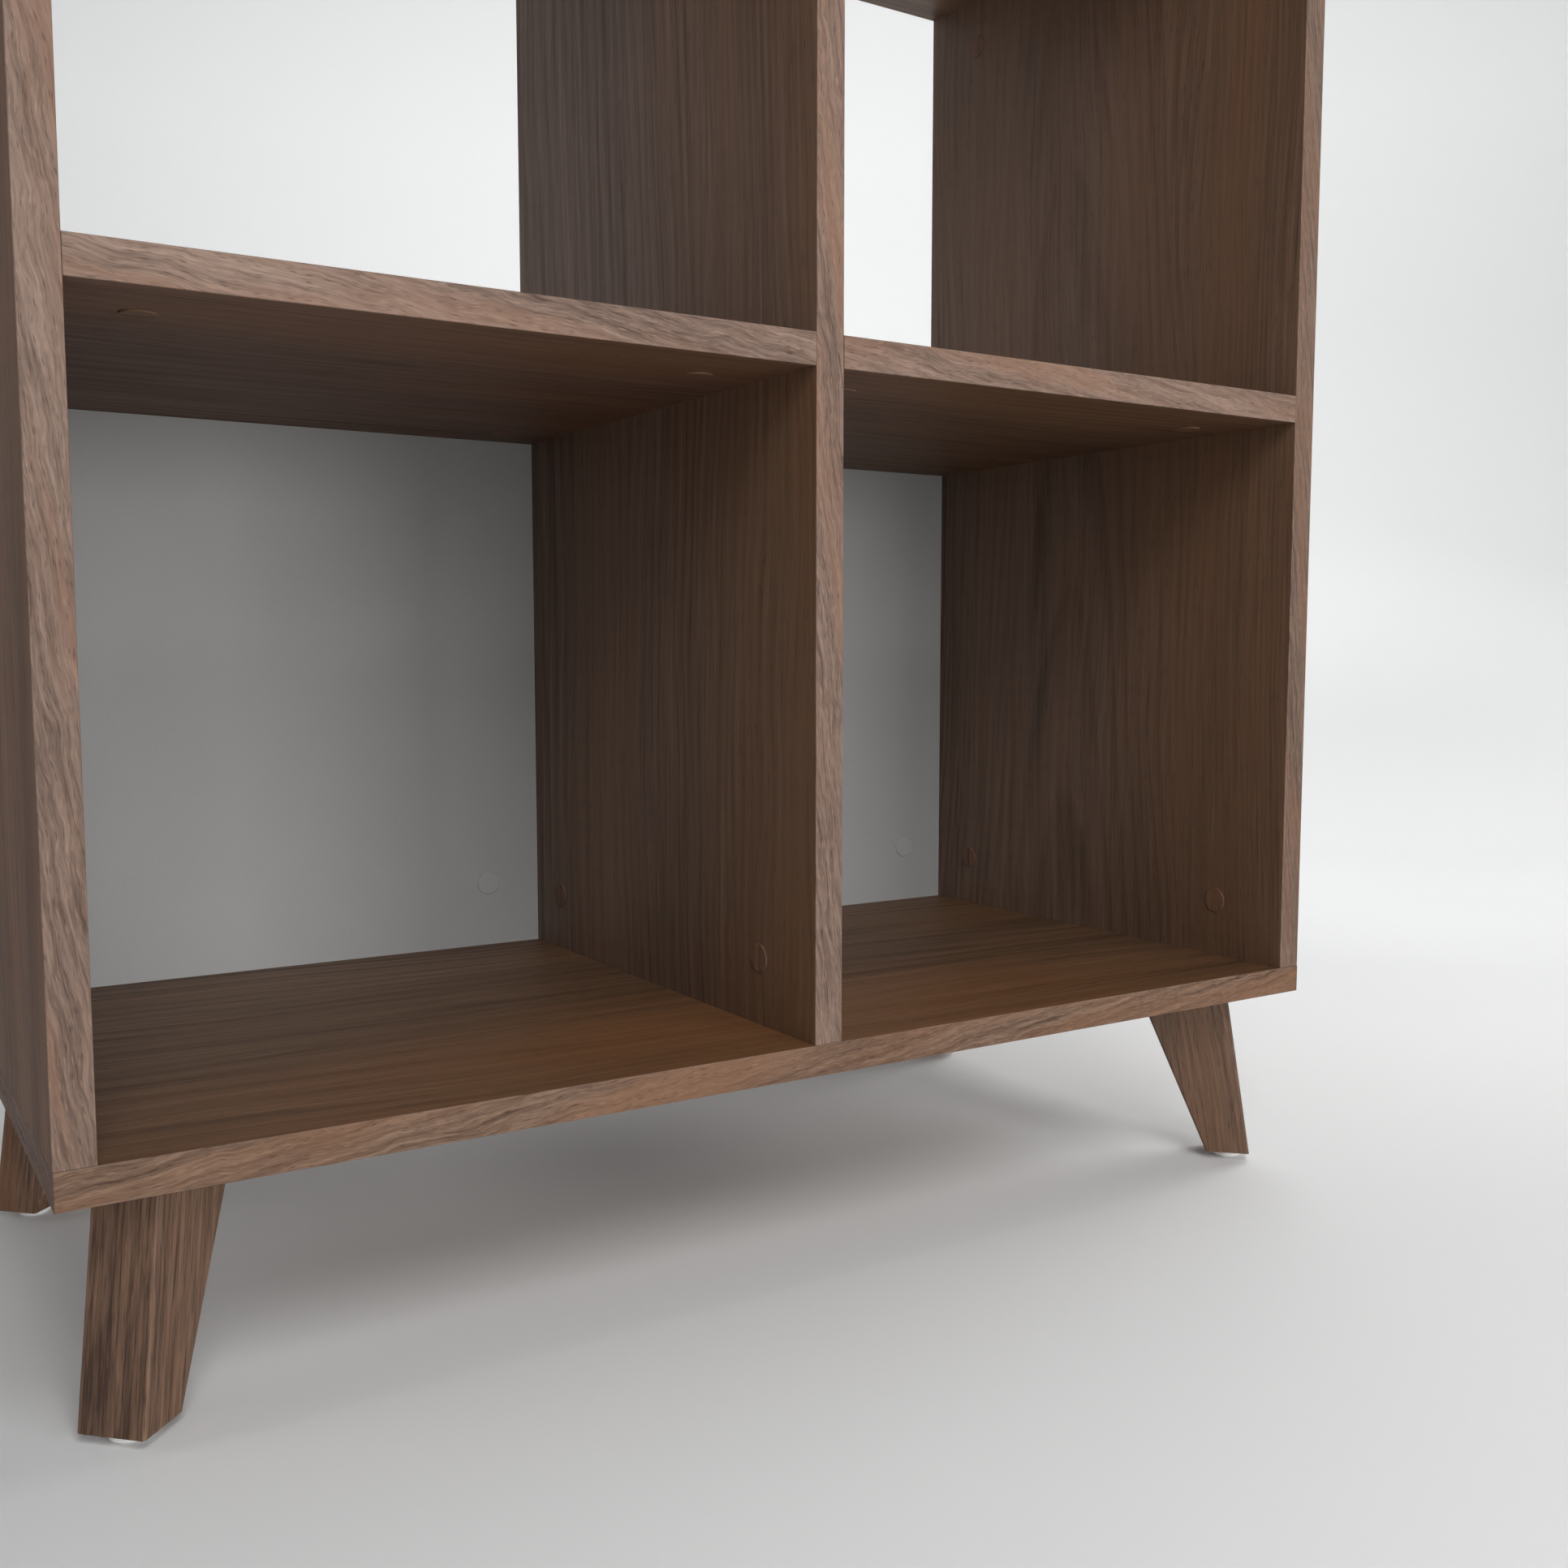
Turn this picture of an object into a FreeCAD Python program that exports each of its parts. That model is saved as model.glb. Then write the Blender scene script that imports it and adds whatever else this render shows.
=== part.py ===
import FreeCAD, Part
import Sketcher
import os

# Cube storage unit: 18 mm boards joined by cam fittings and dowels, two columns and two rows,
# grey back panels in the lower row, four flat splayed legs on steel plates, a glide under each.
# Origin: on the floor under the middle of the unit. +X to the right, +Y to the rear, +Z up.

doc = FreeCAD.newDocument("cube_storage_unit")

# ---------------------------------------------------------------- driving dimensions (mm)

sizes = [
    ("width", 800, "overall width"),
    ("depth", 400, "overall depth"),
    ("cell_height", 375, "clear height of one cell"),
    ("board", 18, "thickness of the decor boards"),
    ("back_board", 18, "thickness of the grey back panels"),
    ("back_gap", 0.3, "clearance of a back panel at its sides and top"),
    ("band", 1, "thickness of the edge bands"),
    ("band_round", 0.6, "rounding of the outer edges of a band"),
    ("leg_rise", 115, "top of the glides to the underside of the bottom board"),
    ("leg_thick", 35, "thickness of a leg across its diagonal"),
    ("leg_top_outer", 48, "corner to the outer edge of a leg at the board, along the diagonal"),
    ("leg_top_inner", 109, "corner to the inner edge of a leg at the board"),
    ("leg_foot_outer", 30.5, "corner to the outer edge of a foot"),
    ("leg_foot_inner", 60, "corner to the inner edge of a foot"),
    ("leg_round", 1.5, "rounding of the long edges of a leg"),
    ("plate_thick", 2.5, "thickness of the steel mounting plates"),
    ("plate_long", 56, "mounting plate along the diagonal"),
    ("plate_ear", 13.5, "side of a leg to the edge of its mounting plate"),
    ("plate_round", 6, "corner rounding of a mounting plate"),
    ("plate_pitch_long", 40, "plate screw spacing along the diagonal"),
    ("plate_screw_out", 7, "side of a leg to the plate screws beside it"),
    ("leg_screw_pitch", 24, "spacing of the two screws from plate to leg"),
    ("glide_height", 6, "height of a glide"),
    ("glide_across", 20, "diameter of a glide"),
    ("glide_round", 2, "rounding of a glide's lower edge"),
    ("recess_room", 0.4, "radial clearance of a nail head in its recess"),
    ("recess_deep", 3, "depth of a glide's nail recess"),
    ("nail_across", 2, "diameter of a glide nail"),
    ("nail_long", 22, "shank length of a glide nail"),
    ("nail_head", 8.4, "diameter of a nail head"),
    ("nail_head_thick", 1.2, "thickness of a nail head"),
    ("cam_front", 60, "front or rear face to the nearest cam fitting"),
    ("cam_reach", 40, "mating face to the centre of a cam disc"),
    ("back_cam_rise", 47, "cell floor to the cams of a back panel"),
    ("cam_across", 15, "diameter of a cam disc"),
    ("cam_bore_deep", 13.5, "depth of the bore that holds a cam disc"),
    ("bolt_depth", 9, "face with the cam discs to the axis of their bolts"),
    ("cam_sink", 2, "face of the board to the top of a cam disc"),
    ("cam_slot_long", 9, "length of a cam disc's driver slot"),
    ("cam_slot_wide", 1.5, "width of a cam disc's driver slot"),
    ("cam_slot_deep", 2, "depth of a cam disc's driver slot"),
    ("cap_lip", 1.25, "rim of a cover cap beyond the cam disc"),
    ("cap_thick", 0.8, "height of a cover cap above the board"),
    ("cap_spigot", 1.6, "depth of a cover cap's spigot in the bore"),
    ("bolt_across", 7, "shank diameter of a cam bolt"),
    ("bolt_room", 0.5, "radial clearance of a cam bolt's shank in a board's edge"),
    ("bolt_neck", 4, "neck diameter of a cam bolt"),
    ("bolt_head", 6.4, "head diameter of a cam bolt"),
    ("bolt_shoulder", 6, "cam centre back to the end of a cam bolt's shank"),
    ("thread_across", 5, "core diameter of a cam bolt's thread"),
    ("thread_long", 11, "length of a cam bolt's thread"),
    ("dowel_across", 8, "diameter of a wooden dowel"),
    ("dowel_nose", 1, "chamfer at a dowel's ends"),
    ("dowel_in_face", 12, "depth of a dowel hole in a board's face"),
    ("dowel_in_edge", 23, "depth of a dowel hole in a board's edge"),
    ("dowel_step", 32, "cam fitting to the dowel beside it"),
    ("end_slack", 0.5, "free length of a hole past the end of what it holds"),
    ("back_dowel_in", 70, "end of a back panel to the dowels in its top edge"),
    ("board_screw", 3.6, "diameter of a screw from plate to board"),
    ("board_screw_long", 15, "length of a screw from plate to board"),
    ("board_screw_head", 7.2, "head diameter of a screw from plate to board"),
    ("leg_screw", 4, "diameter of a screw from plate to leg"),
    ("leg_screw_long", 30, "length of a screw from plate to leg"),
    ("leg_screw_head", 8, "head diameter of a screw from plate to leg"),
    ("cross_long", 0.6, "length of a screw's cross recess, as a share of its head"),
    ("cross_wide", 0.9, "width of the two slots of a cross recess"),
    ("cross_deep", 1.5, "depth of a cross recess"),
    ("fit", 0.1, "radial clearance of a fastener in its hole"),
]

sheet = doc.addObject("Spreadsheet::Sheet", "dims")
for row, (alias, value, note) in enumerate(sizes, start=1):
    sheet.set(f"A{row}", note)
    sheet.set(f"B{row}", str(value))
    sheet.setAlias(f"B{row}", alias)
doc.recompute()

# ---------------------------------------------------------------- shared places, as expressions

deck = "dims.glide_height + dims.leg_rise"
floor_top = f"{deck} + dims.board"
shelf_low = f"{floor_top} + dims.cell_height"
upright_height = "2 * dims.cell_height + dims.board"
roof = f"{floor_top} + {upright_height}"
side_x = "(dims.width - dims.board) / 2"
cell_x = "(dims.width - dims.board) / 4"
cell_wide = "(dims.width - 3 * dims.board) / 2"
half_board = "dims.board / 2"
half_depth = "dims.depth / 2"
cam_y = "(dims.depth / 2 - dims.cam_front)"
dowel_y = "(dims.depth / 2 - dims.cam_front - dims.dowel_step)"
cell_cam_x = f"({cell_wide} / 2 - dims.cam_reach)"
back_y = "(dims.depth - dims.back_board) / 2"
back_wide = f"({cell_wide} - 2 * dims.back_gap)"
back_dowel_x = f"({cell_wide} / 2 - dims.back_dowel_in)"
pilot_across = "(dims.thread_across + 2 * dims.fit)"
dowel_bore = "(dims.dowel_across + 2 * dims.fit)"
cam_bore = "(dims.cam_across + 2 * dims.fit)"
shank_bore = "(dims.bolt_across + 2 * dims.fit)"
bolt_bore = "(dims.bolt_across + 2 * dims.bolt_room)"
pilot_deep = "(dims.thread_long + dims.end_slack)"
plate_wide = "(dims.leg_thick + 2 * dims.plate_ear)"
plate_screw_v = "(dims.leg_thick / 2 + dims.plate_screw_out)"
bolt_offset = "(dims.board / 2 - dims.bolt_depth)"
back_bolt_y = "(dims.depth / 2 - dims.back_board + dims.bolt_depth)"
plate_u = "(dims.leg_top_outer + dims.leg_top_inner) / 2"
foot_u = "(dims.leg_foot_outer + dims.leg_foot_inner) / 2"
both = ("", "-")
hairline = 0.01  # mm; two places this close count as one
cos45 = 0.5 ** 0.5

xAxis = FreeCAD.Vector(1, 0, 0)
yAxis = FreeCAD.Vector(0, 1, 0)
zAxis = FreeCAD.Vector(0, 0, 1)


def signed(sign, expression):
    # The expression itself, or its negative when sign is "-".
    if sign == "-":
        return f"-({expression})"
    return expression


# ---------------------------------------------------------------- modelling helpers

nodes = []


def keep(thing, label):
    # Names an object as a sub-part that is written to a file of its own.
    thing.Label = label
    nodes.append(thing)
    return thing


def place(thing, where, turn=None):
    # Puts an object at three expressions, turned by a rotation.
    thing.Placement = FreeCAD.Placement(FreeCAD.Vector(0, 0, 0), turn or FreeCAD.Rotation())
    for axis, expression in zip("xyz", where):
        if expression != "0":
            thing.setExpression(f"Placement.Base.{axis}", expression)


def new_body(name):
    return doc.addObject("PartDesign::Body", name)


def new_sketch(body, name, role, offset="0"):
    # Sketch on one of the body's own origin planes, moved along the plane's normal.
    plane = [item for item in body.Origin.OriginFeatures if item.Role == role][0]
    sketch = body.newObject("Sketcher::SketchObject", name)
    sketch.AttachmentSupport = [(plane, "")]
    sketch.MapMode = "FlatFace"
    if offset != "0":
        sketch.setExpression("AttachmentOffset.Base.z", offset)
    return sketch


def pin_point(sketch, geometry, point, where):
    # Fixes a point of the sketch at two expressions, or on an axis where one is zero.
    for kind, axis, expression in (("DistanceX", -2, where[0]), ("DistanceY", -1, where[1])):
        if expression == "0":
            sketch.addConstraint(Sketcher.Constraint("PointOnObject", geometry, point, axis))
        else:
            index = sketch.addConstraint(Sketcher.Constraint(kind, -1, 1, geometry, point, 1.0))
            sketch.setExpression(f"Constraints[{index}]", expression)


def outline(body, name, role, corners):
    # Closed outline of straight lines through corners given as pairs of expressions.
    sketch = new_sketch(body, name, role)
    count = len(corners)
    start = [FreeCAD.Rotation(zAxis, 360.0 * step / count).multVec(xAxis) for step in range(count)]
    for step in range(count):
        sketch.addGeometry(Part.LineSegment(start[step], start[(step + 1) % count]), False)
    for step in range(count):
        sketch.addConstraint(Sketcher.Constraint("Coincident", step, 2, (step + 1) % count, 1))
    for step, corner in enumerate(corners):
        pin_point(sketch, step, 1, corner)
    return sketch


def rectangle(body, name, role, wide, high):
    # Outline centred on the sketch's origin.
    right, top = f"({wide}) / 2", f"({high}) / 2"
    left, low = f"-{right}", f"-{top}"
    return outline(body, name, role, [(left, low), (right, low), (right, top), (left, top)])


def pad(body, sketch, length, symmetric=False):
    feature = body.newObject("PartDesign::Pad", "pad")
    feature.Profile = sketch
    feature.setExpression("Length", length)
    if symmetric:
        feature.SideType = "Symmetric"
    sketch.Visibility = False
    return feature


def revolve(body, corners):
    # Solid of revolution about Z; corners are (radius, height) pairs.
    sketch = outline(body, "profile", "XZ_Plane", corners)
    feature = body.newObject("PartDesign::Revolution", "revolution")
    feature.Profile = sketch
    feature.ReferenceAxis = (sketch, ["V_Axis"])
    feature.Angle = 360
    return feature


def drill(body, role, offset, along, centres, across, deep):
    # Round holes from a plane across Z (XY_Plane), X (YZ_Plane) or Y (XZ_Plane); the holes run
    # along the plane's normal where along is True and against it where it is False.
    sketch = new_sketch(body, "hole_centres", role, offset)
    for step, centre in enumerate(centres):
        start = FreeCAD.Vector(10 * step, 0, 0)
        sketch.addGeometry(Part.Circle(start, zAxis, 2), False)
        pin_point(sketch, step, 3, centre)
        if step:
            sketch.addConstraint(Sketcher.Constraint("Equal", 0, step))
    index = sketch.addConstraint(Sketcher.Constraint("Diameter", 0, 4.0))
    sketch.setExpression(f"Constraints[{index}]", across)
    feature = body.newObject("PartDesign::Pocket", "holes")
    feature.Profile = sketch
    feature.setExpression("Length", deep)
    feature.Reversed = along
    return feature


def edges_where(shape, test):
    # Names of the edges whose middle and direction pass a test.
    found = []
    for index, edge in enumerate(shape.Edges, start=1):
        middle = edge.valueAt((edge.FirstParameter + edge.LastParameter) / 2)
        if test(edge, middle):
            found.append(f"Edge{index}")
    return found


def dress(body, kind, test, size_property, size):
    # Fillet or chamfer on the chosen edges of the body's last feature.
    doc.recompute()
    base = body.Tip
    feature = body.newObject(kind, "dress")
    feature.Base = (base, edges_where(base.Shape, test))
    feature.setExpression(size_property, size)
    return feature


def upright_edge(edge, point):
    # A straight edge that climbs more than it runs sideways.
    if edge.Curve.TypeId != "Part::GeomLine":
        return False
    return abs(edge.tangentAt(edge.FirstParameter).z) > cos45


def group(label, master, places):
    # Identical pieces as one node: a link to the master for each place.
    copies = []
    for where, turn in places:
        copy = doc.addObject("App::Link", f"{label}_copy")
        copy.LinkedObject = master
        place(copy, where, turn)
        copies.append(copy)
    node = doc.addObject("Part::Compound", label)
    node.Links = copies
    return keep(node, label)


def turned(out, towards):
    # Rotation that takes a fitting's +Z to out and its +X to towards.
    return FreeCAD.Rotation(towards, out.cross(towards), out, "ZXY")


# ---------------------------------------------------------------- boards


def end_places():
    # Cam bolt and dowel places along a board's end, in local Y.
    cams = [signed(sign, cam_y) for sign in both]
    dowels = [signed(sign, dowel_y) for sign in both]
    return cams, dowels


# The three uprights: the middle of each, and the side (+1 or -1 along X) that holds its cam discs.
columns = [(f"-{side_x}", 1), ("0", -1), (side_x, -1)]


def bolt_column(middle, face):
    # X of an upright's vertical cam bolts.
    climb = "+" if face > 0 else "-"
    return f"{middle} {climb} {bolt_offset}"


def full_board(label, where, uprights_above):
    # Bottom or top board: the uprights meet its upper or its lower face.
    body = new_body(label)
    core = rectangle(body, "plan", "XY_Plane", "dims.width - 2 * dims.band", "dims.depth - 2 * dims.band")
    pad(body, core, "dims.board")
    face = "dims.board" if uprights_above else "0"
    cams, dowels = end_places()
    bolts = [(bolt_column(*column), cam) for column in columns for cam in cams]
    pegs = [(column[0], dowel) for column in columns for dowel in dowels]
    drill(body, "XY_Plane", face, not uprights_above, bolts, pilot_across, pilot_deep)
    drill(body, "XY_Plane", face, not uprights_above, pegs, dowel_bore, "dims.dowel_in_face")
    place(body, where)
    return keep(body, label)


def upright(label, where, cam_side):
    # Side panel or divider: cam_side is +1 or -1, the face along X that holds its cam discs.
    body = new_body(label)
    core = rectangle(body, "plan", "XY_Plane", "dims.board", "dims.depth - 2 * dims.band")
    pad(body, core, upright_height)
    cams, dowels = end_places()
    top_cam = f"{upright_height} - dims.cam_reach"
    discs = [(cam, level) for cam in cams for level in ("dims.cam_reach", top_cam)]
    face = half_board if cam_side > 0 else f"-{half_board}"
    drill(body, "YZ_Plane", face, cam_side < 0, discs, cam_bore, "dims.cam_bore_deep")
    for level, along in (("0", True), (upright_height, False)):
        bolts = [(bolt_column("0", cam_side), cam) for cam in cams]
        pegs = [("0", dowel) for dowel in dowels]
        drill(body, "XY_Plane", level, along, bolts, bolt_bore, "dims.cam_reach")
        drill(body, "XY_Plane", level, along, pegs, dowel_bore, "dims.dowel_in_edge")
    place(body, where)
    return keep(body, label)


shelf_middle = f"dims.cell_height + {half_board}"
shelf_bolt = "dims.cell_height + dims.bolt_depth"


def side_panel(label, hand):
    # hand is "-" for the left side and "" for the right one; its inner face looks at the divider.
    inner = 1 if hand == "-" else -1
    body = upright(label, (signed(hand, side_x), "0", floor_top), inner)
    cams, dowels = end_places()
    face = half_board if inner > 0 else f"-{half_board}"
    bolts = [(cam, shelf_bolt) for cam in cams] + [(back_bolt_y, "dims.back_cam_rise")]
    pegs = [(dowel, shelf_middle) for dowel in dowels]
    drill(body, "YZ_Plane", face, inner < 0, bolts, pilot_across, pilot_deep)
    drill(body, "YZ_Plane", face, inner < 0, pegs, dowel_bore, "dims.dowel_in_face")
    return body


def divider(label):
    body = upright(label, ("0", "0", floor_top), -1)
    cams, dowels = end_places()
    bolts = [(cam, shelf_bolt) for cam in cams] + [(back_bolt_y, "dims.back_cam_rise")]
    pegs = [(dowel, shelf_middle) for dowel in dowels]
    drill(body, "YZ_Plane", f"-{half_board}", True, bolts, shank_bore, "dims.board")
    drill(body, "YZ_Plane", f"-{half_board}", True, pegs, dowel_bore, "dims.board")
    return body


def shelf(label, hand):
    body = new_body(label)
    core = rectangle(body, "plan", "XY_Plane", cell_wide, "dims.depth - 2 * dims.band")
    pad(body, core, "dims.board")
    cams, dowels = end_places()
    discs = [(signed(sign, cell_cam_x), cam) for sign in both for cam in cams]
    drill(body, "XY_Plane", "0", True, discs, cam_bore, "dims.cam_bore_deep")
    for face, along in ((f"-{cell_wide} / 2", True), (f"{cell_wide} / 2", False)):
        bolts = [(cam, "dims.bolt_depth") for cam in cams]
        pegs = [(dowel, half_board) for dowel in dowels]
        drill(body, "YZ_Plane", face, along, bolts, bolt_bore, "dims.cam_reach")
        drill(body, "YZ_Plane", face, along, pegs, dowel_bore, "dims.dowel_in_edge")
    back_pegs = [(signed(sign, back_dowel_x), back_y) for sign in both]
    drill(body, "XY_Plane", "0", True, back_pegs, dowel_bore, "dims.dowel_in_face")
    place(body, (signed(hand, cell_x), "0", shelf_low))
    return keep(body, label)


def back_panel(label, hand):
    # Stands on the bottom board behind the lower cell, flush with the rear of the boards.
    body = new_body(label)
    pad(body, rectangle(body, "plan", "XY_Plane", back_wide, "dims.back_board"),
        "dims.cell_height - dims.back_gap")
    discs = [(signed(sign, cell_cam_x), "dims.back_cam_rise") for sign in both]
    drill(body, "XZ_Plane", "dims.back_board / 2", False, discs, cam_bore, "dims.cam_bore_deep")
    bolt = [("dims.bolt_depth - dims.back_board / 2", "dims.back_cam_rise")]
    for face, along in ((f"-{back_wide} / 2", True), (f"{back_wide} / 2", False)):
        drill(body, "YZ_Plane", face, along, bolt, bolt_bore, "dims.cam_reach - dims.back_gap")
    pegs = [(signed(sign, back_dowel_x), "0") for sign in both]
    drill(body, "XY_Plane", "dims.cell_height - dims.back_gap", False, pegs, dowel_bore,
          "dims.dowel_in_edge")
    place(body, (signed(hand, cell_x), back_y, floor_top))
    return keep(body, label)


bottom_board = full_board("bottom_board", ("0", "0", deck), True)
top_board = full_board("top_board", ("0", "0", roof), False)
side_panel("left_side_panel", "-")
side_panel("right_side_panel", "")
divider("centre_divider")
shelf("left_shelf", "-")
shelf("right_shelf", "")
back_panel("left_back_panel", "-")
back_panel("right_back_panel", "")

# ---------------------------------------------------------------- edge bands


def strip(name, low_corner, spans):
    # One band: a thin box whose outer long edges are rounded; the outer face is the one further
    # from the board's middle across the strip's thickness.
    box = doc.addObject("Part::Box", name)
    for side, span in zip(("Length", "Width", "Height"), spans):
        box.setExpression(side, span)
    place(box, low_corner)
    doc.recompute()
    thin = spans.index("dims.band")
    sides = [box.Length.Value, box.Width.Value, box.Height.Value]
    longest = sides.index(max(sides))
    middle = box.Shape.BoundBox.Center
    outward = 1 if middle[thin] > 0 else -1

    def on_outer_face(edge, point):
        along = edge.tangentAt(edge.FirstParameter)
        return abs(along[longest]) > 0.5 and (point[thin] - middle[thin]) * outward > 0

    rounded = doc.addObject("Part::Fillet", f"{name}_rounded")
    rounded.Base = box
    radius = sheet.get("band_round")
    picked = edges_where(box.Shape, on_outer_face)
    rounded.Edges = [(int(edge[4:]), radius, radius) for edge in picked]
    return rounded


def front_and_rear(name, left, low, across, high):
    # The strips on a board's front and rear edges.
    front = strip(f"{name}_front", (left, f"-{half_depth}", low), (across, "dims.band", high))
    rear = strip(f"{name}_rear", (left, f"{half_depth} - dims.band", low), (across, "dims.band", high))
    return [front, rear]


def bands(label, strips, where):
    node = doc.addObject("Part::Compound", label)
    node.Links = strips
    place(node, where)
    return keep(node, label)


for name, level in (("bottom_board", deck), ("top_board", roof)):
    pieces = front_and_rear(name, "-dims.width / 2", "0", "dims.width", "dims.board")
    for side, left in (("left", "-dims.width / 2"), ("right", "dims.width / 2 - dims.band")):
        corner = (left, f"-{half_depth} + dims.band", "0")
        pieces.append(strip(f"{name}_{side}", corner, ("dims.band", "dims.depth - 2 * dims.band",
                                                       "dims.board")))
    bands(f"{name}_edge_bands", pieces, ("0", "0", level))

for name, across in (("left_side", f"-{side_x}"), ("centre_divider", "0"), ("right_side", side_x)):
    pieces = front_and_rear(name, f"-{half_board}", "0", "dims.board", upright_height)
    bands(f"{name}_edge_bands", pieces, (across, "0", floor_top))

for name, hand in (("left_shelf", "-"), ("right_shelf", "")):
    pieces = front_and_rear(name, f"-{cell_wide} / 2", "0", cell_wide, "dims.board")
    bands(f"{name}_edge_bands", pieces, (signed(hand, cell_x), "0", shelf_low))

# ---------------------------------------------------------------- legs, plates and glides

# Each leg: name, sign of X, sign of Y, and the turn that points +X inwards along its diagonal.
leg_corners = [
    ("front_left", "-", "-", 45),
    ("front_right", "", "-", 135),
    ("rear_right", "", "", 225),
    ("rear_left", "-", "", 315),
]


def on_diagonal(hand_x, hand_y, angle, along, across="0"):
    # Plan position a distance along the inward diagonal of a corner and across it.
    x = f"{signed(hand_x, 'dims.width / 2')} + cos({angle}deg) * ({along}) - sin({angle}deg) * ({across})"
    y = f"{signed(hand_y, 'dims.depth / 2')} + sin({angle}deg) * ({along}) + cos({angle}deg) * ({across})"
    return x, y


def leg(label, hand_x, hand_y, angle):
    # Flat tapered board, wide at the top, its sides in the corner's diagonal plane.
    body = new_body(label)
    top = "dims.leg_rise - dims.plate_thick"
    profile = outline(body, "side_view", "XZ_Plane", [
        ("dims.leg_foot_outer", "0"),
        ("dims.leg_foot_inner", "0"),
        ("dims.leg_top_inner", top),
        ("dims.leg_top_outer", top),
    ])
    pad(body, profile, "dims.leg_thick", symmetric=True)
    dress(body, "PartDesign::Fillet", upright_edge, "Radius", "dims.leg_round")
    screws = [(f"{plate_u} {sign} dims.leg_screw_pitch / 2", "0") for sign in "+-"]
    drill(body, "XY_Plane", top, False, screws, "(dims.leg_screw + 2 * dims.fit)",
          "dims.leg_screw_long - dims.plate_thick + dims.end_slack")
    drill(body, "XY_Plane", "0", True, [(foot_u, "0")], "(dims.nail_across + 2 * dims.fit)",
          "dims.nail_long - dims.glide_height + dims.recess_deep + dims.end_slack")
    where = (signed(hand_x, "dims.width / 2"), signed(hand_y, "dims.depth / 2"), "dims.glide_height")
    place(body, where, FreeCAD.Rotation(zAxis, angle))
    return keep(body, label)


def mounting_plate(label, hand_x, hand_y, angle):
    # Steel plate with four countersunk holes from below and two from above.
    body = new_body(label)
    pad(body, rectangle(body, "plan", "XY_Plane", "dims.plate_long", plate_wide),
        "dims.plate_thick")
    dress(body, "PartDesign::Fillet", upright_edge, "Radius", "dims.plate_round")
    ears = [(f"{a}dims.plate_pitch_long / 2", f"{b}{plate_screw_v}") for a in both for b in both]
    middle = [(f"{a}dims.leg_screw_pitch / 2", "0") for a in both]
    small = "(dims.board_screw + 2 * dims.fit)"
    large = "(dims.leg_screw + 2 * dims.fit)"
    drill(body, "XY_Plane", "0", True, ears, small, "dims.plate_thick")
    drill(body, "XY_Plane", "0", True, middle, large, "dims.plate_thick")
    leg_side = sheet.get("leg_thick") / 2

    def ear_rim(edge, point):
        return edge.Closed and point.z < hairline and abs(point.y) > leg_side

    def middle_rim(edge, point):
        return edge.Closed and point.z > hairline and abs(point.y) < leg_side

    dress(body, "PartDesign::Chamfer", ear_rim, "Size", "(dims.board_screw_head - dims.board_screw) / 2")
    dress(body, "PartDesign::Chamfer", middle_rim, "Size", "(dims.leg_screw_head - dims.leg_screw) / 2")
    x, y = on_diagonal(hand_x, hand_y, angle, plate_u)
    place(body, (x, y, f"{deck} - dims.plate_thick"), FreeCAD.Rotation(zAxis, angle))
    return keep(body, label)


def glide(label, hand_x, hand_y, angle):
    # Low plastic disc with a recess below for the nail's head.
    body = new_body(label)
    rim, recess = "dims.glide_across / 2", "(dims.nail_head / 2 + dims.recess_room)"
    hole = "(dims.nail_across / 2 + dims.fit)"
    revolve(body, [
        (recess, "0"),
        (rim, "0"),
        (rim, "dims.glide_height"),
        (hole, "dims.glide_height"),
        (hole, "dims.recess_deep"),
        (recess, "dims.recess_deep"),
    ])
    rim_radius = sheet.get("glide_across") / 2

    def lower_rim(edge, point):
        return edge.Closed and point.z < hairline and point.Length > rim_radius - hairline

    dress(body, "PartDesign::Fillet", lower_rim, "Radius", "dims.glide_round")
    x, y = on_diagonal(hand_x, hand_y, angle, foot_u)
    place(body, (x, y, "0"))
    return keep(body, label)


for name, hand_x, hand_y, angle in leg_corners:
    leg(f"{name}_leg", hand_x, hand_y, angle)
    mounting_plate(f"{name}_mounting_plate", hand_x, hand_y, angle)
    glide(f"{name}_glide", hand_x, hand_y, angle)

# The plates' screw holes in the underside of the bottom board.
plate_screw_places = []
leg_screw_places = []
nail_places = []
for name, hand_x, hand_y, angle in leg_corners:
    for a in both:
        along = f"{plate_u} + ({a}dims.plate_pitch_long / 2)"
        for b in both:
            plate_screw_places.append(on_diagonal(hand_x, hand_y, angle, along,
                                                  f"{b}{plate_screw_v}"))
        along = f"{plate_u} + ({a}dims.leg_screw_pitch / 2)"
        leg_screw_places.append(on_diagonal(hand_x, hand_y, angle, along))
    nail_places.append(on_diagonal(hand_x, hand_y, angle, foot_u))
drill(bottom_board, "XY_Plane", "0", True, plate_screw_places, "(dims.board_screw + 2 * dims.fit)",
      "dims.board_screw_long - dims.plate_thick + dims.end_slack")

# ---------------------------------------------------------------- fasteners


def driver_slot(body, long, wide, deep, top):
    # Straight slot along X, cut down from the height top.
    slot = body.newObject("PartDesign::SubtractiveBox", "driver_slot")
    for side, size in (("Length", long), ("Width", wide), ("Height", deep)):
        slot.setExpression(side, size)
    place(slot, (f"-({long}) / 2", f"-({wide}) / 2", f"{top} - {deep}"))


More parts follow.
